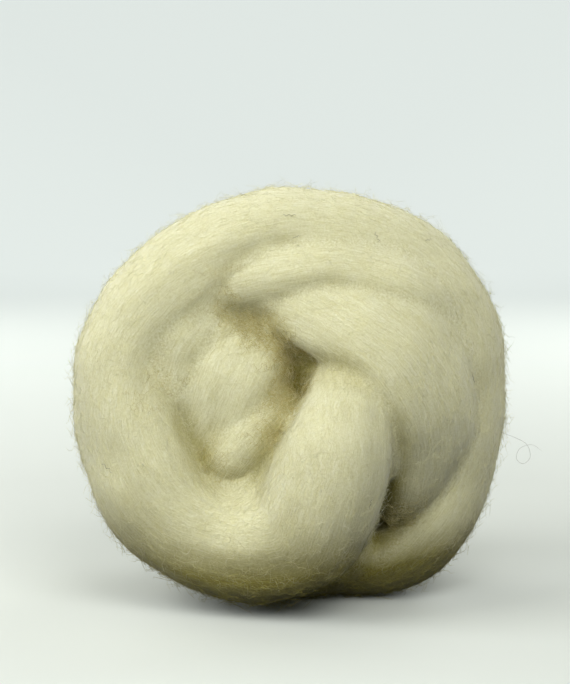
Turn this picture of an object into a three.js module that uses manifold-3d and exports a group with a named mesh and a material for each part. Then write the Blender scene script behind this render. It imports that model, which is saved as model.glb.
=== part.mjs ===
// Wool roving: one long soft rope of combed fleece, wound round and round itself into
// a ball and tucked in at both ends. It holds together by friction alone, so the
// whole ball is a single body.
//
// Millimetres, +Z up. The front, where the rope folds into the middle of the ball,
// faces -Y. The origin is the centre of the flat spot the ball rests on.

import * as THREE from 'three';
import { mergeVertices } from 'three/addons/utils/BufferGeometryUtils.js';
import Module from 'manifold-3d';

const wasm = await Module();
wasm.setup();

// Driving sizes.
const BALL_CENTRE = new THREE.Vector3(0, 8, 56.5);
const SIDES_ROUND_ROPE = 20;
const STEP_ALONG_ROPE = 7;
const ROUNDED_END = 0.9; // length of a rope's rounded end, as a share of its half thickness

// The middle of the ball, under the turns that show: one large egg, and a small one
// that fills the space behind the inner coil.
const CORE = { centre: [0, 17, 56.5], half: [46, 28, 44], sides: 32, rings: 20 };
const CORE_BEHIND_COIL = { centre: [-29, -2, 58], half: [19, 14, 38], sides: 16, rings: 10 };

// The turn behind the front ones: a ring that closes the ball's widest girth.
const GIRTH_HALF_WIDTH = 46;
const GIRTH_HALF_HEIGHT = 45.5;
const GIRTH_DEPTH = 15;
const GIRTH_SLANT = 5;
const GIRTH_SLANT_FROM = 0.6;
const GIRTH_ROPE = { wide: 20, thick: 14 };
const GIRTH_STEPS = 12;
const GIRTH_START = -Math.PI / 3; // low at the right, where its two ends lie side by side
const GIRTH_OVERLAP = 1;

// Each turn of the rope is a row for each place it passes: the centre of the rope
// there, half its width across the ball's surface and half its thickness outward.
const COLUMNS = ['x', 'y', 'z', 'wide', 'thick'];

// The turn that shows most. It comes out from under the ball at the right, goes
// over the top and down the left, and folds up into the middle as the front lobe.
const OUTER_TURN = [
  [-4, 8, 6, 12, 8],
  [12, -4, 8.5, 15, 9.5],
  [29, -11, 11, 14, 10],
  [41.5, -13, 20.5, 13.5, 9.5],
  [50, -8.5, 36, 15.5, 8.5],
  [54, -4, 56, 17, 8.5],
  [52, -3, 77, 17, 9],
  [39, -4, 94.5, 17, 10],
  [16, -7, 104, 17, 11.5],
  [-9, -10, 104.5, 15, 12],
  [-31.5, -14, 91.5, 16, 13.5],
  [-45, -16, 73, 16, 14.5],
  [-45, -18, 50.5, 19.5, 15],
  [-35, -24, 29.5, 18, 15.5],
  [-17, -30, 19.5, 15.5, 15.5],
  [2.5, -35, 24, 16.5, 17.5],
  [11, -39, 40, 16.5, 16.5],
  [14.5, -36, 53, 13.5, 14],
  [15, -27, 61, 11, 12],
  [11, -16, 66, 9, 9],
];

// The wide flat turn inside it, from the upper left round to the lower right.
const INNER_BAND = [
  [-25, 6, 75.5, 9, 8],
  [-15.5, -6, 80, 11.5, 10.5],
  [-1, -15, 86.5, 14, 10.5],
  [14.5, -22, 83.5, 17.5, 11],
  [31, -25, 75, 21, 11],
  [40, -22.5, 57, 20, 11],
  [39, -16.5, 39, 19, 10],
  [32.5, -7, 23, 14, 10],
];

// The raised fold along the band's upper edge, under the outer turn.
const BAND_RIDGE = [
  [-30, -3, 84, 10, 9],
  [-18, -13, 90.5, 13, 10],
  [-2, -18.5, 94.5, 12.5, 9],
  [14, -20, 95.5, 11, 8.5],
  [27, -19, 93, 12.5, 8.5],
  [37.5, -16.5, 86, 11.5, 8],
  [44.7, -13, 74.9, 10, 7],
  [47, -11, 63, 7, 5.5],
];

// The innermost turn, left of the lobe.
const INNER_COIL = [
  [-23, -2, 27.5, 7, 7],
  [-25, -13, 41, 12, 11],
  [-22, -19, 53, 18.5, 12],
  [-18, -19.5, 65, 20, 13],
  [-11, -14.5, 73, 16, 12.5],
  [0, -4, 75, 11, 10],
];

// The rope's thin end, laid between the coil and the lobe.
const TUCKED_TIP = [
  [-22.5, -16, 29, 5, 6],
  [-17, -28, 39.5, 8, 7],
  [-11, -31, 48, 8.5, 7],
  [-4, -26, 56, 7.5, 8],
  [-3, -12, 61, 4, 4],
];

// Fleece that fills the fold between the outer turn and the coil.
const INFLOW = [
  [-24, -9, 87, 9, 9],
  [-29, -14.5, 79.5, 13.5, 13.5],
  [-33, -16, 71, 14.5, 14.5],
  [-36, -14, 62, 13, 13],
  [-36, -8, 53, 9, 9],
];

// A short turn underneath, between the front of the ball and its girth.
const UNDERNEATH = [
  [-38, -8, 31, 12, 10],
  [-27, -10, 18, 15, 11],
  [-9, -12, 11, 16, 10.5],
  [10, -16, 12, 14, 10],
  [24, -18, 20, 10, 9],
];

// Turns that cross each other at the back.
const BACK_UNDER = [
  [43, 7, 28.5, 13, 10],
  [34, 26, 37.5, 17.5, 12.5],
  [16, 37, 51.5, 19, 13],
  [-6, 38, 68.5, 18.5, 13],
  [-25, 29, 82.5, 17, 12.5],
  [-37, 10, 90.5, 13, 10],
];

const BACK_OVER = [
  [-43, 7, 37.5, 13, 10],
  [-36, 27, 43.5, 17.5, 13],
  [-19, 39, 53.5, 19, 13],
  [5, 42, 65.5, 19, 13],
  [27, 31, 77.5, 18, 13],
  [39, 10, 85.5, 13, 10],
];

const BACK_LOW = [
  [-35, 10, 26.5, 13, 10],
  [-24, 27, 27.5, 16, 12],
  [-3, 36, 27.5, 17, 13.5],
  [19, 29, 25, 16, 11.5],
  [31, 14, 24.5, 13, 10],
];

function namedRows(table) {
  return table.map((row) => Object.fromEntries(COLUMNS.map((name, k) => [name, row[k]])));
}

// The girth ring's rows, going round once and a little past its own start.
function girthRows() {
  const rows = [];
  for (let step = 0; step <= GIRTH_STEPS + GIRTH_OVERLAP; step += 1) {
    const angle = GIRTH_START - (2 * Math.PI * step) / GIRTH_STEPS;
    rows.push({
      x: GIRTH_HALF_WIDTH * Math.cos(angle),
      y: GIRTH_DEPTH + GIRTH_SLANT * Math.sin(angle + GIRTH_SLANT_FROM),
      z: BALL_CENTRE.z + GIRTH_HALF_HEIGHT * Math.sin(angle),
      ...GIRTH_ROPE,
    });
  }
  return rows;
}

// How far the rope's rounded end has filled out, 0 at the very end and 1 past it.
function endFill(distance, endLength) {
  const reached = Math.min(distance / endLength, 1);
  return Math.sqrt(1 - (1 - reached) ** 2);
}

// A closed length of rope: a sphere drawn out along the smooth route through the
// rows, with an oval section whose thickness always points out of the ball.
function ropeAlong(rows) {
  const route = new THREE.CatmullRomCurve3(
    rows.map((row) => new THREE.Vector3(row.x, row.y, row.z)), false, 'catmullrom');
  const section = new THREE.CatmullRomCurve3(
    rows.map((row) => new THREE.Vector3(row.wide, row.thick, 0)), false, 'catmullrom');
  const length = route.getLength();
  const steps = Math.round(length / STEP_ALONG_ROPE);
  const rope = new THREE.SphereGeometry(1, SIDES_ROUND_ROPE, steps);
  const points = rope.getAttribute('position');
  for (let ring = 0; ring <= steps; ring += 1) {
    const share = ring / steps;
    const t = route.getUtoTmapping(share);
    const centre = route.getPoint(t);
    const half = section.getPoint(t);
    const along = route.getTangent(t);
    const outward = centre.clone().sub(BALL_CENTRE);
    outward.addScaledVector(along, -outward.dot(along)).normalize();
    const across = along.clone().cross(outward);
    const endLength = half.y * ROUNDED_END;
    const fill = endFill(share * length, endLength) * endFill((1 - share) * length, endLength);
    for (let side = 0; side <= SIDES_ROUND_ROPE; side += 1) {
      const turn = (2 * Math.PI * side) / SIDES_ROUND_ROPE;
      const point = centre.clone();
      point.addScaledVector(across, half.x * fill * Math.cos(turn));
      point.addScaledVector(outward, half.y * fill * Math.sin(turn));
      points.setXYZ(ring * (SIDES_ROUND_ROPE + 1) + side, point.x, point.y, point.z);
    }
  }
  return rope;
}

function egg({ centre, half, sides, rings }) {
  const shape = new THREE.SphereGeometry(1, sides, rings);
  shape.scale(...half);
  shape.translate(...centre);
  return shape;
}

// Everything below the surface that the ball rests on.
function belowFlatSpot() {
  const size = 200;
  const block = new THREE.BoxGeometry(size, size, size);
  block.translate(0, 0, -size / 2);
  return block;
}

function solidFrom(geometry) {
  const bare = geometry.clone();
  bare.deleteAttribute('normal');
  bare.deleteAttribute('uv');
  const merged = mergeVertices(bare);
  return new wasm.Manifold(new wasm.Mesh({
    numProp: 3,
    vertProperties: new Float32Array(merged.getAttribute('position').array),
    triVerts: new Uint32Array(merged.getIndex().array),
  }));
}

function geometryFrom(solid) {
  const mesh = solid.getMesh();
  const geometry = new THREE.BufferGeometry();
  geometry.setAttribute('position', new THREE.BufferAttribute(mesh.vertProperties, 3));
  geometry.setIndex(new THREE.BufferAttribute(mesh.triVerts, 1));
  geometry.computeVertexNormals();
  return geometry;
}

function woundRoving() {
  const turns = [
    OUTER_TURN, INNER_BAND, BAND_RIDGE, INNER_COIL, TUCKED_TIP, INFLOW, UNDERNEATH, BACK_UNDER,
    BACK_OVER, BACK_LOW,
  ].map(namedRows);
  turns.push(girthRows());
  let ball = solidFrom(egg(CORE)).add(solidFrom(egg(CORE_BEHIND_COIL)));
  for (const rows of turns) {
    ball = ball.add(solidFrom(ropeAlong(rows)));
  }
  return geometryFrom(ball.subtract(solidFrom(belowFlatSpot())));
}

const undyedWool = new THREE.MeshStandardMaterial({
  name: 'undyed wool',
  color: 0xddd9b4,
  roughness: 0.95,
  metalness: 0,
});

const roving = new THREE.Mesh(woundRoving(), undyedWool);
roving.name = 'wound_roving';

const object = new THREE.Group();
object.add(roving);

export default object;
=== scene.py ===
"""A loose ball of undyed wool roving, with the look of combed fleece.

Lengths in the tables are millimetres and everything built is in metres. +Z is up and
the front of the ball, where the roving folds into the middle, faces -Y.
"""

import math

import bpy
import numpy as np
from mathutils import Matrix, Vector, noise
from mathutils.bvhtree import BVHTree


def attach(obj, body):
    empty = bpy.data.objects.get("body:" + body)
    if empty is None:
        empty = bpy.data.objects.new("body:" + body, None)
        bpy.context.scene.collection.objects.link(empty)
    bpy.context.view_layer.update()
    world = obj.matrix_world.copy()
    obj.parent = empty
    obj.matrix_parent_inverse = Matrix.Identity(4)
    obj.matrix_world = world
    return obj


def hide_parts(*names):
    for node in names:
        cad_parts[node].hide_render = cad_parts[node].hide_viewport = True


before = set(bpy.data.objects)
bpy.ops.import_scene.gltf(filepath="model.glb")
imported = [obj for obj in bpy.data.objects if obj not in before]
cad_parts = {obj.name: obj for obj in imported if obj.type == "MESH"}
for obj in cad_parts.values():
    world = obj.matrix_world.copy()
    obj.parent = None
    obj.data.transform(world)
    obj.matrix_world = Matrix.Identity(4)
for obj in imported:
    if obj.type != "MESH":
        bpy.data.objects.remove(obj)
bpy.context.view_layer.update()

MM = 0.001
SEED = 11
rng = np.random.default_rng(SEED)

# ---------------------------------------------------------------- the winding

BALL_CENTRE = (0, 8, 56.5)

# Each turn of the roving: the centre of the rope at each place it passes, half its
# width across the ball's surface and half its thickness outward.
#     x, y, z, wide, thick
TURNS = {
    # Out from under the ball at the right, over the top, down the left, and folded
    # up into the middle as the front lobe.
    "outer": [
        (-4, 8, 6, 12, 8),
        (12, -4, 8.5, 15, 9.5),
        (29, -11, 11, 14, 10),
        (41.5, -13, 20.5, 13.5, 9.5),
        (50, -8.5, 36, 15.5, 8.5),
        (54, -4, 56, 17, 8.5),
        (52, -3, 77, 17, 9),
        (39, -4, 94.5, 17, 10),
        (16, -7, 104, 17, 11.5),
        (-9, -10, 104.5, 15, 12),
        (-31.5, -14, 91.5, 16, 13.5),
        (-45, -16, 73, 16, 14.5),
        (-45, -18, 50.5, 19.5, 15),
        (-35, -24, 29.5, 18, 15.5),
        (-17, -30, 19.5, 15.5, 15.5),
        (2.5, -35, 24, 16.5, 17.5),
        (11, -39, 40, 16.5, 16.5),
        (14.5, -36, 53, 13.5, 14),
        (15, -27, 61, 11, 12),
        (11, -16, 66, 9, 9),
    ],
    # The wide flat turn inside it, from the upper left round to the lower right.
    "band": [
        (-25, 6, 75.5, 9, 8),
        (-15.5, -6, 80, 11.5, 10.5),
        (-1, -15, 86.5, 14, 10.5),
        (14.5, -22, 83.5, 17.5, 11),
        (31, -25, 75, 21, 11),
        (40, -22.5, 57, 20, 11),
        (39, -16.5, 39, 19, 10),
        (32.5, -7, 23, 14, 10),
    ],
    # The raised fold along the band's upper edge.
    "ridge": [
        (-30, -3, 84, 10, 9),
        (-18, -13, 90.5, 13, 10),
        (-2, -18.5, 94.5, 12.5, 9),
        (14, -20, 95.5, 11, 8.5),
        (27, -19, 93, 12.5, 8.5),
        (37.5, -16.5, 86, 11.5, 8),
        (44.7, -13, 74.9, 10, 7),
        (47, -11, 63, 7, 5.5),
    ],
    # The innermost turn, left of the lobe.
    "coil": [
        (-23, -2, 27.5, 7, 7),
        (-25, -13, 41, 12, 11),
        (-22, -19, 53, 18.5, 12),
        (-18, -19.5, 65, 20, 13),
        (-11, -14.5, 73, 16, 12.5),
        (0, -4, 75, 11, 10),
    ],
    # The thin end, laid between the coil and the lobe.
    "tip": [
        (-22.5, -16, 29, 5, 6),
        (-17, -28, 39.5, 8, 7),
        (-11, -31, 48, 8.5, 7),
        (-4, -26, 56, 7.5, 8),
        (-3, -12, 61, 4, 4),
    ],
    # Fleece that fills the fold between the outer turn and the coil.
    "inflow": [
        (-24, -9, 87, 9, 9),
        (-29, -14.5, 79.5, 13.5, 13.5),
        (-33, -16, 71, 14.5, 14.5),
        (-36, -14, 62, 13, 13),
        (-36, -8, 53, 9, 9),
    ],
    # A short turn underneath.
    "underneath": [
        (-38, -8, 31, 12, 10),
        (-27, -10, 18, 15, 11),
        (-9, -12, 11, 16, 10.5),
        (10, -16, 12, 14, 10),
        (24, -18, 20, 10, 9),
    ],
    # Turns that cross each other at the back.
    "back_under": [
        (43, 7, 28.5, 13, 10),
        (34, 26, 37.5, 17.5, 12.5),
        (16, 37, 51.5, 19, 13),
        (-6, 38, 68.5, 18.5, 13),
        (-25, 29, 82.5, 17, 12.5),
        (-37, 10, 90.5, 13, 10),
    ],
    "back_over": [
        (-43, 7, 37.5, 13, 10),
        (-36, 27, 43.5, 17.5, 13),
        (-19, 39, 53.5, 19, 13),
        (5, 42, 65.5, 19, 13),
        (27, 31, 77.5, 18, 13),
        (39, 10, 85.5, 13, 10),
    ],
    "back_low": [
        (-35, 10, 26.5, 13, 10),
        (-24, 27, 27.5, 16, 12),
        (-3, 36, 27.5, 17, 13.5),
        (19, 29, 25, 16, 11.5),
        (31, 14, 24.5, 13, 10),
    ],
}

# The ring behind the front turns, at the ball's widest girth.
GIRTH = dict(
    half_width=46, half_height=45.5, depth=15, slant=5, slant_from=0.6, wide=20, thick=14,
    start=-math.pi / 3, step=math.radians(30), rows=14,
)

# The middle of the ball and the fleece behind the coil, as eggs, and a small one at the
# bottom of the pit between the coil and the lobe: centre and half sizes.
EGGS = [
    ((0, 17, 56.5), (46, 28, 44)),
    ((-29, -2, 58), (19, 14, 38)),
    ((4.5, -16.5, 69), (8, 9.5, 9.5)),
]


def girth_rows():
    """The girth ring, going round once and one step past its own start."""
    rows = []
    for row in range(GIRTH["rows"]):
        angle = GIRTH["start"] - GIRTH["step"] * row
        rows.append((
            GIRTH["half_width"] * math.cos(angle),
            GIRTH["depth"] + GIRTH["slant"] * math.sin(angle + GIRTH["slant_from"]),
            BALL_CENTRE[2] + GIRTH["half_height"] * math.sin(angle),
            GIRTH["wide"],
            GIRTH["thick"],
        ))
    return rows


def smooth_through(rows, per_span=24):
    """A uniform Catmull-Rom curve through the rows, its ends carried straight on."""
    rows = np.array(rows, float)
    padded = np.vstack([2 * rows[0] - rows[1], rows, 2 * rows[-1] - rows[-2]])
    t = np.linspace(0, 1, per_span, endpoint=False)[:, None]
    spans = []
    for a, b, c, d in zip(padded, padded[1:], padded[2:], padded[3:]):
        leave, arrive = (c - a) / 2, (d - b) / 2
        spans.append(
            b + leave * t + (3 * (c - b) - 2 * leave - arrive) * t ** 2
            + (2 * (b - c) + leave + arrive) * t ** 3
        )
    return np.vstack(spans + [rows[-1:]])


def unit(vectors):
    return vectors / np.maximum(np.linalg.norm(vectors, axis=-1, keepdims=True), 1e-12)


# A turn's end rounds off over this share of its half thickness.
END_ROUNDING = 0.9


class Rope:
    """One turn of the roving: its route in even steps and the oval section at each."""

    def __init__(self, rows, step=2.0):
        fine = smooth_through(rows) * MM
        lengths = np.linalg.norm(np.diff(fine[:, :3], axis=0), axis=1)
        reached = np.concatenate([[0], np.cumsum(lengths)])
        self.length = reached[-1]
        self.at = np.linspace(0, self.length, int(self.length / (step * MM)))
        even = np.stack([np.interp(self.at, reached, fine[:, k]) for k in range(5)], 1)
        self.centre, self.wide, self.thick = even[:, :3], even[:, 3], even[:, 4]
        self.along = unit(np.gradient(self.centre, axis=0))
        outward = self.centre - np.array(BALL_CENTRE) * MM
        outward -= (outward * self.along).sum(1, keepdims=True) * self.along
        self.outward = unit(outward)
        self.across = np.cross(self.along, self.outward)

    def end_fill(self):
        """0 at the two ends, rounding out to 1 within about the rope's half thickness."""
        rounded = self.thick * END_ROUNDING
        near = np.clip(self.at / rounded, 0, 1)
        far = np.clip((self.length - self.at) / rounded, 0, 1)
        return np.sqrt(1 - (1 - near) ** 2) * np.sqrt(1 - (1 - far) ** 2)

    def mesh(self, sides=40):
        turn = np.linspace(0, 2 * math.pi, sides, endpoint=False)
        fill = self.end_fill()[:, None]
        reach_across = np.cos(turn) * self.wide[:, None] * fill
        reach_out = np.sin(turn) * self.thick[:, None] * fill
        rings = (
            self.centre[:, None] + self.across[:, None] * reach_across[..., None]
            + self.outward[:, None] * reach_out[..., None]
        )[1:-1]
        points = np.vstack([self.centre[:1], rings.reshape(-1, 3), self.centre[-1:]])
        last = len(points) - 1
        start_of_last_ring = last - sides
        faces = []
        for side in range(sides):
            beside = (side + 1) % sides
            faces.append((0, 1 + beside, 1 + side))
            faces.append((last, start_of_last_ring + side, start_of_last_ring + beside))
            for ring in range(1, start_of_last_ring, sides):
                above = ring + sides
                faces.append((ring + side, ring + beside, above + beside, above + side))
        return points, faces


def mesh_object(name, points, faces):
    mesh = bpy.data.meshes.new(name)
    mesh.from_pydata([tuple(point) for point in points], [], faces)
    obj = bpy.data.objects.new(name, mesh)
    bpy.context.scene.collection.objects.link(obj)
    return obj


def egg_object(centre, half):
    bpy.ops.mesh.primitive_uv_sphere_add(segments=48, ring_count=32, radius=1)
    egg = bpy.context.object
    egg.scale = [size * MM for size in half]
    egg.location = [place * MM for place in centre]
    bpy.ops.object.transform_apply(location=True, scale=True)
    return egg


def join(objects):
    bpy.ops.object.select_all(action="DESELECT")
    for obj in objects:
        obj.select_set(True)
    bpy.context.view_layer.objects.active = objects[0]
    bpy.ops.object.join()
    return bpy.context.object


def apply_modifier(obj, kind, **settings):
    modifier = obj.modifiers.new(kind.lower(), kind)
    for name, value in settings.items():
        setattr(modifier, name, value)
    bpy.context.view_layer.objects.active = obj
    bpy.ops.object.modifier_apply(modifier=modifier.name)


def places_of(mesh):
    flat = np.empty(len(mesh.vertices) * 3)
    mesh.vertices.foreach_get("co", flat)
    return flat.reshape(-1, 3)


def normals_of(mesh):
    flat = np.empty(len(mesh.vertices) * 3)
    mesh.vertex_normals.foreach_get("vector", flat)
    return flat.reshape(-1, 3)


def set_places(mesh, places):
    mesh.vertices.foreach_set("co", places.ravel())
    mesh.update()


# Where creases are filled, and how far: right up where the turns have felted together,
# and partly where a fold still shows. Everywhere else they stay as deep as they are.
#     x, y, z, reach, fill
FOLDS = [
    (-24, -22, 84, 6, 0.5),
    (-31, -24, 79, 9, 1.0),
    (-35, -26, 72, 9, 1.0),
    (-37, -28, 67, 7, 0.8),
    (-22, -27, 76, 8, 1.0),
    (-27, -27, 69, 8, 1.0),
    (-31, -27, 63, 7, 0.8),
    (-10, -25, 98, 7, 0.7),
    (31, -28, 91, 8, 0.9),
    (41, -25, 87, 8, 1.0),
    (49, -20, 76, 9, 1.0),
    (52, -19, 64, 8, 0.7),
    (-12, -33, 37, 7, 0.8),
    (1, -36, 63, 6, 0.9),
    (0, -40, 57, 6, 0.8),
    (29, -28, 44, 10, 1.0),
    (29, -26, 34, 11, 1.0),
    (30, -22, 25, 8, 1.0),
]


# Creases deeper than the first of these, in mm, are filled in full, and the skin is
# softened where they are deeper than the second.
FILLED_FROM = 1.2
SOFT_FROM = 0.5
SOFTENING_ROUNDS = 6


class Web:
    """The body's edges, for spreading values to the places beside them."""

    def __init__(self, mesh):
        ends = np.empty(len(mesh.edges) * 2, int)
        mesh.edges.foreach_get("vertices", ends)
        ends = ends.reshape(-1, 2)
        self.here = np.concatenate([ends[:, 0], ends[:, 1]])
        self.there = np.concatenate([ends[:, 1], ends[:, 0]])
        self.beside = np.bincount(self.here, minlength=len(mesh.vertices))

    def relaxed(self, values, rounds):
        for _ in range(rounds):
            sums = [np.bincount(self.here, column[self.there]) for column in values.T]
            values = (values + np.stack(sums, 1) / self.beside[:, None]) / 2
        return values


def fill_creases(body, rounds=300):
    """Raises the bottoms of the creases towards a much smoother skin, most at the joins."""
    places = places_of(body.data)
    web = Web(body.data)
    smooth_skin = web.relaxed(places, rounds)
    rise = ((smooth_skin - places) * normals_of(body.data)).sum(1)
    fill = np.zeros(len(places))
    for x, y, z, reach, wanted in FOLDS:
        distance = np.linalg.norm(places - np.array((x, y, z)) * MM, axis=1) / (reach * MM)
        fill += (wanted - fill) * np.exp(-distance ** 4)
    fill *= np.clip(rise / (FILLED_FROM * MM), 0, 1)
    places = places + (smooth_skin - places) * fill[:, None]
    crease = web.relaxed(np.clip(rise / (SOFT_FROM * MM), 0, 1)[:, None], SOFTENING_ROUNDS)
    places += (web.relaxed(places, SOFTENING_ROUNDS) - places) * crease
    set_places(body.data, places)


# Depths in a turn run from 0 on its centre line to 1 on its skin. Two turns' skins are
# this far apart in depth where the crease between them ends, and their fibres blend
# into each other's run over the second.
CREASE_WIDTH = 0.2
BLEND_WIDTH = 0.07
POINTS_AT_ONCE = 8000


class Lay:
    """For points on the ball: which turn each lies on, which way its fibres run, how far
    along and round that turn it is, and how near to a crease between two turns."""

    def __init__(self, ropes, points):
        count = len(points)
        depth = np.full((len(ropes), count), 9.0)
        along = np.zeros((len(ropes), count, 3))
        place = np.zeros((len(ropes), count, 2))
        for k, rope in enumerate(ropes):
            for start in range(0, count, POINTS_AT_ONCE):
                part = slice(start, start + POINTS_AT_ONCE)
                gap = points[part, None] - rope.centre
                near = (gap ** 2).sum(2).argmin(1)
                gap = points[part] - rope.centre[near]
                across = (gap * rope.across[near]).sum(1)
                out = (gap * rope.outward[near]).sum(1)
                beyond = (gap * rope.along[near]).sum(1)
                depth[k, part] = np.sqrt(
                    (across / rope.wide[near]) ** 2 + (out / rope.thick[near]) ** 2
                    + (beyond / rope.thick[near]) ** 2
                )
                along[k, part] = rope.along[near]
                turn = np.arctan2(out / rope.thick[near], across / rope.wide[near])
                place[k, part, 0] = rope.at[near] + beyond
                place[k, part, 1] = turn * (rope.wide[near] + rope.thick[near]) / 2
        order = np.argsort(depth, axis=0)
        index = np.arange(count)
        self.turn = order[0]
        self.place = place[self.turn, index]
        apart = depth[order[1], index] - depth[self.turn, index]
        self.clear = np.clip(apart / CREASE_WIDTH, 0, 1)
        main = along[self.turn, index]
        share = np.exp(-(depth - depth[self.turn, index]) / BLEND_WIDTH)
        same_way = np.sign((along * main).sum(2))
        self.along = unit((along * (share * same_way)[..., None]).sum(0))


# The surface's relief, in mm: soft lumps of one size all over, and bundles and strands
# that are long the way the fibres lie and narrow across it.
LUMP = dict(size=17, height=1.1)
BUNDLE = dict(long=45, narrow=7, height=0.5)
STRAND = dict(long=15, narrow=2.6, height=0.12)


def ruffle(body, ropes):
    """Soft lumps, and shallow ridges that run the way the fibres lie. The last figure in
    each ridge's place moves on from turn to turn, so that no two turns have the same."""
    places = places_of(body.data)
    normals = normals_of(body.data)
    lay = Lay(ropes, places)
    push = np.empty(len(places))
    for k, place in enumerate(places):
        s, u = lay.place[k] / MM
        turn = lay.turn[k]
        lump = noise.noise(Vector(place) / (LUMP["size"] * MM))
        bundle = noise.noise(Vector((s / BUNDLE["long"], u / BUNDLE["narrow"], turn * 7.3)))
        strand = noise.noise(Vector((s / STRAND["long"], u / STRAND["narrow"], turn * 5.1 + 40)))
        ridges = BUNDLE["height"] * bundle + STRAND["height"] * strand
        push[k] = LUMP["height"] * lump + lay.clear[k] * ridges
    places = places + normals * (push * MM)[:, None]
    places[:, 2] = np.maximum(places[:, 2], 0)
    set_places(body.data, places)


# The joined turns' skin is remade in cells of this size, in mm.
VOXEL = 1.05


def wound_body(ropes):
    shapes = [mesh_object("turn", *rope.mesh()) for rope in ropes]
    shapes += [egg_object(centre, half) for centre, half in EGGS]
    body = join(shapes)
    apply_modifier(body, "REMESH", mode="VOXEL", voxel_size=VOXEL * MM, use_smooth_shade=True)
    apply_modifier(body, "SMOOTH", factor=0.5, iterations=5)
    fill_creases(body)
    apply_modifier(body, "SMOOTH", factor=0.5, iterations=3)
    ruffle(body, ropes)
    body.name = "wool_body"
    body.data.name = "wool_body"
    return body


# ---------------------------------------------------------------- fibres

# Real wool fibres are about 0.03 mm across. These are 0.06 to 0.1 mm, as coarse as they
# need to be to show.

# In the painted shade, the floor shades the fleece above it as a surface this many times nearer
# would.
FLOOR_SHADE = 3.5

# No fibre goes lower than this above the floor, in mm.
LOWEST_FIBRE = 0.1


class Surface:
    """The body as fibres see it: the nearest point, the outward way and the fibre lay."""

    def __init__(self, body, ropes):
        mesh = body.data
        self.places = places_of(mesh)
        corners = [tuple(face.vertices) for face in mesh.polygons]
        self.tree = BVHTree.FromPolygons([Vector(place) for place in self.places], corners)
        self.middle = np.array([face.center for face in mesh.polygons])
        self.area = np.array([face.area for face in mesh.polygons])
        self.lay = Lay(ropes, self.middle)
        self.corners = corners
        self.open_at_places = self.openness(mesh)
        self.open = self.open_at_places[[face[0] for face in corners]]

    def openness(self, mesh, reach=16 * MM, rays=16):
        """How much open air each place sees: near 0 in a deep fold or close over the floor,
        1 on a crest. The fleece's colours are darkened by it as painted shade."""
        normals = normals_of(mesh)
        seen = np.zeros(len(self.places))
        ways = unit(rng.normal(0, 1, (rays, 3)))
        for way in ways:
            headings = unit(normals * 1.02 + way)
            for k, (place, normal, heading) in enumerate(zip(self.places, normals, headings)):
                start = Vector(place + normal * 0.3 * MM)
                hit = self.tree.ray_cast(start, Vector(heading), reach)
                free = reach if hit[0] is None else hit[3]
                if heading[2] < 0:
                    free = min(free, start.z / -heading[2] / FLOOR_SHADE)
                seen[k] += free / reach
        return Web(mesh).relaxed(seen[:, None] / rays, 4)[:, 0]

    def nearest(self, points):
        found = [self.tree.find_nearest(Vector(point)) for point in points]
        places = np.array([hit[0] for hit in found])
        normals = np.array([hit[1] for hit in found])
        faces = np.array([hit[2] for hit in found])
        return places, normals, faces

    def scatter(self, count):
        """Points strewn evenly over the surface."""
        faces = rng.choice(len(self.area), count, p=self.area / self.area.sum())
        return self.middle[faces] + rng.normal(0, 0.4 * MM, (count, 3))


def trace(surface, starts, length, yaw, wander, knots):
    """Fibres' routes over the surface: from each start, along the lay turned by yaw, with
    a gentle wander. Gives the points, the surface's outward way at each, and how open the
    surface is where the fibre starts."""
    count = len(starts)
    routes = np.empty((count, knots, 3))
    outward = np.empty((count, knots, 3))
    step = (length / (knots - 1))[:, None]
    swing = rng.uniform(0, 2 * math.pi, count)
    pace = rng.uniform(1.0, 2.4, count)
    way = rng.choice([-1, 1], count)[:, None]
    places, normals, faces = surface.nearest(starts)
    open_there = surface.open[faces]
    for knot in range(knots):
        routes[:, knot] = places
        outward[:, knot] = normals
        lay = surface.lay.along[faces] * way
        lay = unit(lay - (lay * normals).sum(1, keepdims=True) * normals)
        side = np.cross(normals, lay)
        angle = (yaw + wander * np.sin(swing + pace * knot))[:, None]
        heading = lay * np.cos(angle) + side * np.sin(angle)
        places, normals, faces = surface.nearest(places + heading * step)
    return routes, outward, open_there


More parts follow.
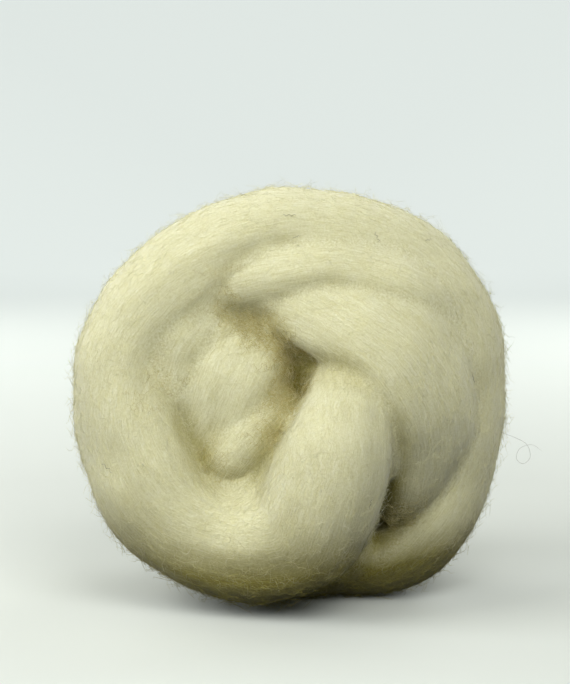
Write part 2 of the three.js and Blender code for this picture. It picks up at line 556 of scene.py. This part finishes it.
def tubes(name, routes, radius, tone, open_there):
    """One mesh of thin three-sided fibres, pointed at both ends, each with its own tone."""
    routes = routes.copy()
    routes[..., 2] = np.maximum(routes[..., 2], LOWEST_FIBRE * MM)
    count, knots, _ = routes.shape
    along = unit(np.gradient(routes, axis=1))
    helper = unit(rng.normal(0, 1, (count, 1, 3)))
    side = unit(np.cross(along, helper))
    rise = np.cross(along, side)
    share = np.linspace(0, 1, knots)
    taper = np.sqrt(np.clip(1 - (2 * share - 1) ** 4, 0, 1))
    reach = radius[:, None] * taper
    rings = []
    for corner in range(3):
        angle = corner * 2 * math.pi / 3
        outward = side * math.cos(angle) + rise * math.sin(angle)
        rings.append(routes + outward * reach[..., None])
    rings = np.stack(rings, 2)[:, 1:-1].reshape(count, -1, 3)
    points = np.concatenate([routes[:, :1], rings, routes[:, -1:]], 1)
    per_fibre = points.shape[1]
    last = per_fibre - 1
    pattern = []
    for corner in range(3):
        beside = (corner + 1) % 3
        pattern.append((0, 1 + beside, 1 + corner))
        pattern.append((last, last - 3 + corner, last - 3 + beside))
        for ring in range(1, last - 3, 3):
            pattern.append((ring + corner, ring + beside, ring + 3 + beside))
            pattern.append((ring + corner, ring + 3 + beside, ring + 3 + corner))
    pattern = np.array(pattern)
    faces = (pattern[None] + np.arange(count)[:, None, None] * per_fibre).reshape(-1, 3)
    mesh = bpy.data.meshes.new(name)
    mesh.vertices.add(count * per_fibre)
    mesh.vertices.foreach_set("co", points.ravel())
    mesh.loops.add(faces.size)
    mesh.loops.foreach_set("vertex_index", faces.ravel())
    mesh.polygons.add(len(faces))
    mesh.polygons.foreach_set("loop_start", np.arange(0, faces.size, 3))
    mesh.update(calc_edges=True)
    mesh.polygons.foreach_set("use_smooth", np.ones(len(faces), bool))
    for label, values in (("tone", tone), ("open", open_there)):
        attribute = mesh.attributes.new(label, "FLOAT", "POINT")
        attribute.data.foreach_set("value", np.repeat(values, per_fibre))
    obj = bpy.data.objects.new(name, mesh)
    bpy.context.scene.collection.objects.link(obj)
    return obj


def combed_fibres(surface, name, count):
    """Fibres that lie in the surface and give it its combed grain."""
    knots = 5
    length = rng.uniform(4, 13, count) * MM
    yaw = rng.normal(0, 0.45, count)
    routes, outward, open_there = trace(surface, surface.scatter(count), length, yaw, 0.5, knots)
    share = np.linspace(0, 1, knots)
    lift = rng.uniform(0.0, 0.22, (count, 1)) * np.sin(math.pi * share) - 0.04
    routes += outward * (lift * MM)[..., None]
    radius = rng.uniform(0.03, 0.05, count) * MM
    return tubes(name, routes, radius, rng.uniform(0, 1, count), open_there)


def loose_fibres(surface, name, count, knots, rise, length):
    """Fibres that stand off the surface and make its fuzzy bloom."""
    lengths = rng.uniform(*length, count) * MM
    yaw = rng.normal(0, 1.0, count)
    routes, outward, open_there = trace(surface, surface.scatter(count), lengths, yaw, 1.3, knots)
    share = np.linspace(0, 1, knots)
    height = rise[0] + (rise[1] - rise[0]) * rng.uniform(0, 1, (count, 1)) ** 2
    lift = height * share ** 1.4 - 0.05
    routes += outward * (lift * MM)[..., None]
    radius = rng.uniform(0.028, 0.05, count) * MM
    # Loose fibres stand clear of the folds, so they take less of the painted shade.
    stands_off = 0.25 + 0.75 * open_there
    return tubes(name, routes, radius, rng.uniform(0, 1, count), stands_off)


# The fuzzy right edge of the coil, where the fibres have slipped out of the comb's order,
# and smaller tangles in the folds round it.
#     x, y, z, spread, fibres
TANGLES = [
    (-13, -25, 80, 2.5, 90),
    (-7, -27, 78, 2.5, 130),
    (-2, -27, 74, 2.5, 150),
    (0, -27, 68, 2.5, 150),
    (0, -30, 62, 2.5, 120),
    (-3, -31, 56, 2.5, 100),
    (-5, -33, 50, 2.0, 90),
    (-20, -33, 42, 3.0, 40),
    (-37, -31, 64, 3.5, 40),
    (-20, -23, 88, 4.0, 60),
    (31, -26, 26, 3.0, 60),
]

# Single dark hairs caught in the fleece, and one long curly one that stands off it.
#     x, y, z, length, rise
DARK_HAIRS = [
    (-12, -12, 116, 4, 1.5),
    (-2, -22, 110, 5, 0.4),
    (3, -25, 105, 3, 0.4),
    (24, -20, 106, 5, 0.5),
    (38, -14, 103, 3, 0.5),
    (-7, -27, 79, 6, 1.0),
    (-48, -33, 40, 6, 0.4),
    (20, -48, 33, 5, 0.4),
    (50, -22, 66, 4, 0.4),
]
CURLY_HAIR = [
    (57, -8, 50), (61, -9, 47.5), (65, -10, 46), (68.5, -10, 44), (69.5, -10.5, 40.5),
    (67.5, -11, 38.5), (65.5, -11, 40), (66.5, -11, 43), (70, -11, 44), (73, -11, 42),
]


def tangled_fibres(surface, name):
    """Short curly fibres, felted into small tangles."""
    knots = 13
    starts = np.vstack([
        np.array((x, y, z)) * MM + rng.normal(0, spread * MM, (fibres, 3))
        for x, y, z, spread, fibres in TANGLES
    ])
    count = len(starts)
    length = rng.uniform(5, 16, count) * MM
    yaw = rng.normal(0, 1.2, count)
    routes, outward, open_there = trace(surface, starts, length, yaw, 1.5, knots)
    share = np.linspace(0, 1, knots)
    lift = rng.uniform(0.2, 2.2, (count, 1)) * np.sin(math.pi * share) ** 0.7
    routes += outward * (lift * MM)[..., None]
    radius = rng.uniform(0.03, 0.05, count) * MM
    return tubes(name, routes, radius, rng.uniform(0, 1, count), open_there)


def dark_hairs(surface, name):
    """The few dark hairs, and the long one that stands off at the right."""
    knots = 13
    table = np.array(DARK_HAIRS, float)
    routes, outward, _ = trace(
        surface, table[:, :3] * MM, table[:, 3] * MM, rng.normal(0, 0.8, len(table)), 1.0, knots)
    lift = table[:, 4:] * np.linspace(0, 1, knots) ** 1.3 + 0.1
    routes += outward * (lift * MM)[..., None]
    curl = np.array(CURLY_HAIR, float)
    curl = smooth_through(curl) * MM
    curl = curl[np.linspace(0, len(curl) - 1, 4 * knots).astype(int)]
    pieces = []
    for path, radius in [(routes, 0.05), (curl[None], 0.04)]:
        count = len(path)
        radii = np.full(count, radius * MM)
        pieces.append(tubes(name, path, radii, np.full(count, 0.3), np.ones(count)))
    hairs = join(pieces)
    hairs.name = name
    return hairs


# ---------------------------------------------------------------- materials


def colour(code):
    """A hex sRGB colour as the linear values that shaders use."""
    parts = [int(code[k:k + 2], 16) / 255 for k in (1, 3, 5)]
    linear = [p / 12.92 if p <= 0.04045 else ((p + 0.055) / 1.055) ** 2.4 for p in parts]
    return (*linear, 1)


def add_node(tree, kind, inputs=None, **settings):
    """Adds a node, sets it up, and links or sets each named input."""
    made = tree.nodes.new(kind)
    for name, value in settings.items():
        setattr(made, name, value)
    for name, value in (inputs or {}).items():
        if isinstance(value, bpy.types.NodeSocket):
            tree.links.new(value, made.inputs[name])
        else:
            made.inputs[name].default_value = value
    return made


def new_material(name):
    material = bpy.data.materials.new(name)
    material.use_nodes = True
    material.node_tree.nodes.clear()
    return material, material.node_tree


def fleece_colour_and_painted_shade(tree, streak):
    """Painted shade: the fleece is creamy on its open faces, and darker and yellower where it sees
    little open air, deep in its folds and low over the floor, standing in for the shade and the
    yellowed bounced light there.
    """
    sky = add_node(tree, "ShaderNodeAttribute", attribute_name="open").outputs["Fac"]
    depth = add_node(tree, "ShaderNodeMapRange", {
        "Value": sky, "From Min": 0.56, "From Max": 1.0, "To Min": 0.0, "To Max": 1.0})
    crest = add_node(tree, "ShaderNodeMix", {
        "Factor": streak, 6: colour("#D0CB9D"), 7: colour("#EBE9CC")}, data_type="RGBA")
    # Painted shade: these fold colours stand in for the shade and bounced light in the folds and
    # under the ball.
    fold = add_node(tree, "ShaderNodeMix", {
        "Factor": streak, 6: colour("#82761F"), 7: colour("#AEA54F")}, data_type="RGBA")
    tint = add_node(tree, "ShaderNodeMix", {
        "Factor": depth.outputs[0], 6: fold.outputs[2], 7: crest.outputs[2]}, data_type="RGBA")
    return tint.outputs[2]


def combed_wool():
    """Undyed fleece, combed: matt, with light let in and back out of its depth, and fine
    streaks along the fibres. Real fibres are 0.03 mm across; these streaks are about
    0.3 mm, as coarse as they need to be to show."""
    material, tree = new_material("undyed_wool_combed")
    lay = add_node(tree, "ShaderNodeAttribute", attribute_name="fibre_lay").outputs["Vector"]
    clear = add_node(tree, "ShaderNodeAttribute", attribute_name="clear").outputs["Fac"]
    place = add_node(tree, "ShaderNodeNewGeometry").outputs["Position"]
    crimp = add_node(tree, "ShaderNodeTexNoise", {"Vector": place, "Scale": 260.0, "Detail": 1.0})
    sway = add_node(tree, "ShaderNodeVectorMath", {
        0: crimp.outputs["Color"], 1: (0.0, 0.0011, 0.0)}, operation="MULTIPLY")
    crimped = add_node(tree, "ShaderNodeVectorMath", {0: lay, 1: sway.outputs[0]}, operation="ADD")
    stretched = add_node(tree, "ShaderNodeVectorMath", {
        0: crimped.outputs[0], 1: (190, 3000, 1)}, operation="MULTIPLY")
    streak = add_node(tree, "ShaderNodeTexNoise", {
        "Vector": stretched.outputs[0], "Scale": 1.0, "Detail": 2.0})
    felt = add_node(tree, "ShaderNodeTexNoise", {"Vector": place, "Scale": 1800.0, "Detail": 2.0})
    combed = add_node(tree, "ShaderNodeMath", {0: clear, 1: 0.6}, operation="MULTIPLY")
    mixed = add_node(tree, "ShaderNodeMix", {
        "Factor": combed.outputs[0], 2: felt.outputs["Fac"], 3: streak.outputs["Fac"]})
    grain = add_node(tree, "ShaderNodeMapRange", {
        "Value": mixed.outputs[0], "From Min": 0.32, "From Max": 0.68,
        "To Min": 0.0, "To Max": 1.0})
    bump = add_node(tree, "ShaderNodeBump", {
        "Height": grain.outputs[0], "Strength": 0.5, "Distance": 0.0002})
    # Its colour carries painted shade in the folds and low over the floor.
    wool = add_node(tree, "ShaderNodeBsdfPrincipled", {
        "Base Color": fleece_colour_and_painted_shade(tree, grain.outputs[0]), "Roughness": 0.95,
        "Normal": bump.outputs[0], "Subsurface Weight": 0.4,
        "Subsurface Radius": (1.0, 0.95, 0.6), "Subsurface Scale": 0.004,
        "Sheen Weight": 0.3, "Sheen Roughness": 0.6, "Specular IOR Level": 0.1})
    add_node(tree, "ShaderNodeOutputMaterial", {"Surface": wool.outputs[0]})
    return material


def wool_fibre():
    """Single wool fibres: fine, slightly glossy, each a little lighter or yellower."""
    material, tree = new_material("undyed_wool_fibre")
    tone = add_node(tree, "ShaderNodeAttribute", attribute_name="tone").outputs["Fac"]
    # Fibres in the folds and low over the floor take the same painted shade as the body.
    wool = add_node(tree, "ShaderNodeBsdfPrincipled", {
        "Base Color": fleece_colour_and_painted_shade(tree, tone), "Roughness": 0.75, "Specular IOR Level": 0.2,
        "Sheen Weight": 0.2, "Sheen Roughness": 0.5})
    add_node(tree, "ShaderNodeOutputMaterial", {"Surface": wool.outputs[0]})
    return material


def tangled_wool():
    """Fibres that have curled up and felted: duller than the combed ones, and darker and yellower,
    partly their own felted colour and partly painted shade of the folds they lie in.
    """
    material, tree = new_material("undyed_wool_tangled")
    tone = add_node(tree, "ShaderNodeAttribute", attribute_name="tone").outputs["Fac"]
    tint = add_node(tree, "ShaderNodeMix", {
        "Factor": tone, 6: colour("#A8974E"), 7: colour("#E0D8A8")}, data_type="RGBA")
    wool = add_node(tree, "ShaderNodeBsdfPrincipled", {
        "Base Color": tint.outputs[2], "Roughness": 0.75, "Specular IOR Level": 0.2})
    add_node(tree, "ShaderNodeOutputMaterial", {"Surface": wool.outputs[0]})
    return material


def dark_hair():
    """A coarse natural hair left in the fleece: dark brown and a little glossy."""
    material, tree = new_material("dark_natural_hair")
    tone = add_node(tree, "ShaderNodeAttribute", attribute_name="tone").outputs["Fac"]
    tint = add_node(tree, "ShaderNodeMix", {
        "Factor": tone, 6: colour("#3A2E22"), 7: colour("#6A573C")}, data_type="RGBA")
    hair = add_node(tree, "ShaderNodeBsdfPrincipled", {
        "Base Color": tint.outputs[2], "Roughness": 0.5})
    add_node(tree, "ShaderNodeOutputMaterial", {"Surface": hair.outputs[0]})
    return material


def painted_board():
    """The pale matt board that the ball stands on and that curves up all round it: lit by
    the lamps near the ball, and evenly glowing where it is a backdrop."""
    material, tree = new_material("pale_matt_board")
    place = add_node(tree, "ShaderNodeNewGeometry").outputs["Position"]
    reach = add_node(tree, "ShaderNodeVectorMath", {0: place}, operation="LENGTH")
    glow = add_node(tree, "ShaderNodeMapRange", {
        "Value": reach.outputs["Value"], "From Min": 0.2, "From Max": 1.2,
        "To Min": 0.0, "To Max": 0.72})
    board = add_node(tree, "ShaderNodeBsdfPrincipled", {
        "Base Color": colour("#E0E4E1"), "Roughness": 0.85, "Specular IOR Level": 0.2,
        "Emission Color": colour("#E6EEEB"), "Emission Strength": glow.outputs[0]})
    add_node(tree, "ShaderNodeOutputMaterial", {"Surface": board.outputs[0]})
    return material


def lay_attributes(body, ropes, surface):
    lay = Lay(ropes, surface.places)
    values = np.column_stack([lay.place, lay.turn * 3.7])
    attribute = body.data.attributes.new("fibre_lay", "FLOAT_VECTOR", "POINT")
    attribute.data.foreach_set("vector", values.ravel())
    # The openness written here sets how much painted shade the body's colour takes in folds and
    # low over the floor.
    for label, values in (("clear", lay.clear), ("open", surface.open_at_places)):
        attribute = body.data.attributes.new(label, "FLOAT", "POINT")
        attribute.data.foreach_set("value", values)


# ---------------------------------------------------------------- stage

TARGET = Vector((-1.2, 4, 72.2)) * MM
BALL_MIDDLE = Vector((0, 0, 60)) * MM
DISTANCE = 559 * MM
ELEVATION = math.radians(6)
LENS = 100
SENSOR = 36

CREAM = (0.99, 1, 0.94)
COOL = (0.97, 1, 0.98)

#     name, place and size in metres, watts, tint
SOFT_LIGHTS = [
    ("soft_key", (0.25, -0.55, 0.62), 0.55, 3.8, CREAM),
    ("soft_side", (-0.62, -0.22, 0.46), 0.55, 3.9, CREAM),
    ("soft_front", (-0.3, -0.8, 0.46), 0.55, 1.9, COOL),
    ("soft_back_right", (0.5, 0.6, 0.5), 0.6, 3.0, CREAM),
    ("soft_back_left", (-0.5, 0.6, 0.5), 0.6, 2.6, CREAM),
]

# The backdrop's profile in metres: a flat floor, a round bend and a plain wall.
BACKDROP = dict(floor=1.1, bend=0.4, height=1.6, sides=72, bend_steps=12)


def aim(obj, at):
    obj.rotation_mode = "QUATERNION"
    obj.rotation_quaternion = (at - obj.location).to_track_quat("-Z", "Y")


def set_camera():
    data = bpy.data.cameras.new("camera")
    data.lens = LENS
    data.sensor_width = SENSOR
    data.clip_start = 0.01
    camera = bpy.data.objects.new("camera", data)
    bpy.context.scene.collection.objects.link(camera)
    back = Vector((0, -math.cos(ELEVATION), math.sin(ELEVATION)))
    camera.location = TARGET + back * DISTANCE
    aim(camera, TARGET)
    bpy.context.scene.camera = camera


def area_light(name, place, size, power, tint):
    data = bpy.data.lights.new(name, "AREA")
    data.size = size
    data.energy = power
    data.color = tint
    light = bpy.data.objects.new(name, data)
    bpy.context.scene.collection.objects.link(light)
    light.location = place
    light.visible_camera = False
    aim(light, BALL_MIDDLE)


def set_lights():
    for settings in SOFT_LIGHTS:
        area_light(*settings)
    world = bpy.data.worlds.new("studio")
    world.use_nodes = True
    tree = world.node_tree
    background = tree.nodes["Background"]
    way = add_node(tree, "ShaderNodeTexCoord").outputs["Generated"]
    height = add_node(tree, "ShaderNodeSeparateXYZ", {0: way}).outputs["Z"]
    sky = add_node(tree, "ShaderNodeMapRange", {
        "Value": height, "From Min": -0.3, "From Max": 0.3, "To Min": 0.02, "To Max": 0.1})
    background.inputs["Color"].default_value = (0.86, 0.93, 0.92, 1)
    tree.links.new(sky.outputs[0], background.inputs["Strength"])
    bpy.context.scene.world = world


def set_sweep():
    """A round floor that curves up into a plain wall all round, well away from the ball."""
    floor, bend, sides = BACKDROP["floor"], BACKDROP["bend"], BACKDROP["sides"]
    profile = [(floor * share, 0.0) for share in (0.25, 0.5, 0.75)]
    for step in range(BACKDROP["bend_steps"] + 1):
        angle = math.pi / 2 * step / BACKDROP["bend_steps"]
        profile.append((floor + bend * math.sin(angle), bend * (1 - math.cos(angle))))
    profile.append((floor + bend, BACKDROP["height"]))
    points = [(0, 0, 0)]
    faces = []
    for ring, (reach, z) in enumerate(profile):
        for side in range(sides):
            turn = 2 * math.pi * side / sides
            here = 1 + ring * sides + side
            beside = 1 + ring * sides + (side + 1) % sides
            points.append((reach * math.cos(turn), reach * math.sin(turn), z))
            if ring:
                faces.append((here - sides, here, beside, beside - sides))
            else:
                faces.append((0, here, beside))
    sweep = mesh_object("backdrop", points, faces)
    for face in sweep.data.polygons:
        face.use_smooth = True
    sweep.data.materials.append(painted_board())
    sweep.visible_diffuse = False


# ---------------------------------------------------------------- the ball

COMBED_LAYERS = 2
COMBED_IN_EACH = 5000

# The bloom's three lengths of loose fibre.
#     name, fibres, points along each, least and most rise, least and most length
BLOOMS = [
    ("short_bloom", 11000, 5, (0.2, 1.2), (2.5, 6)),
    ("middle_bloom", 11000, 5, (0.5, 2.4), (3.5, 8)),
    ("long_bloom", 6500, 7, (0.6, 4.0), (5, 12)),
]

bpy.context.scene.view_settings.view_transform = "Standard"
set_camera()
set_lights()
set_sweep()

ropes = [Rope(rows) for rows in TURNS.values()] + [Rope(girth_rows())]
body = wound_body(ropes)
surface = Surface(body, ropes)
lay_attributes(body, ropes, surface)
body.data.materials.clear()
body.data.materials.append(combed_wool())
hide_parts("wound_roving")

fibre = wool_fibre()
pieces = [body]
for layer in range(COMBED_LAYERS):
    pieces.append(combed_fibres(surface, f"combed_fibres_{layer + 1}", COMBED_IN_EACH))
for settings in BLOOMS:
    pieces.append(loose_fibres(surface, *settings))
for piece in pieces[1:]:
    piece.data.materials.append(fibre)
    piece.visible_shadow = False
tangle = tangled_fibres(surface, "tangled_fibres")
tangle.data.materials.append(tangled_wool())
hairs = dark_hairs(surface, "dark_hairs")
hairs.data.materials.append(dark_hair())
tangle.visible_shadow = False
pieces += [tangle, hairs]
for piece in pieces:
    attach(piece, "root")
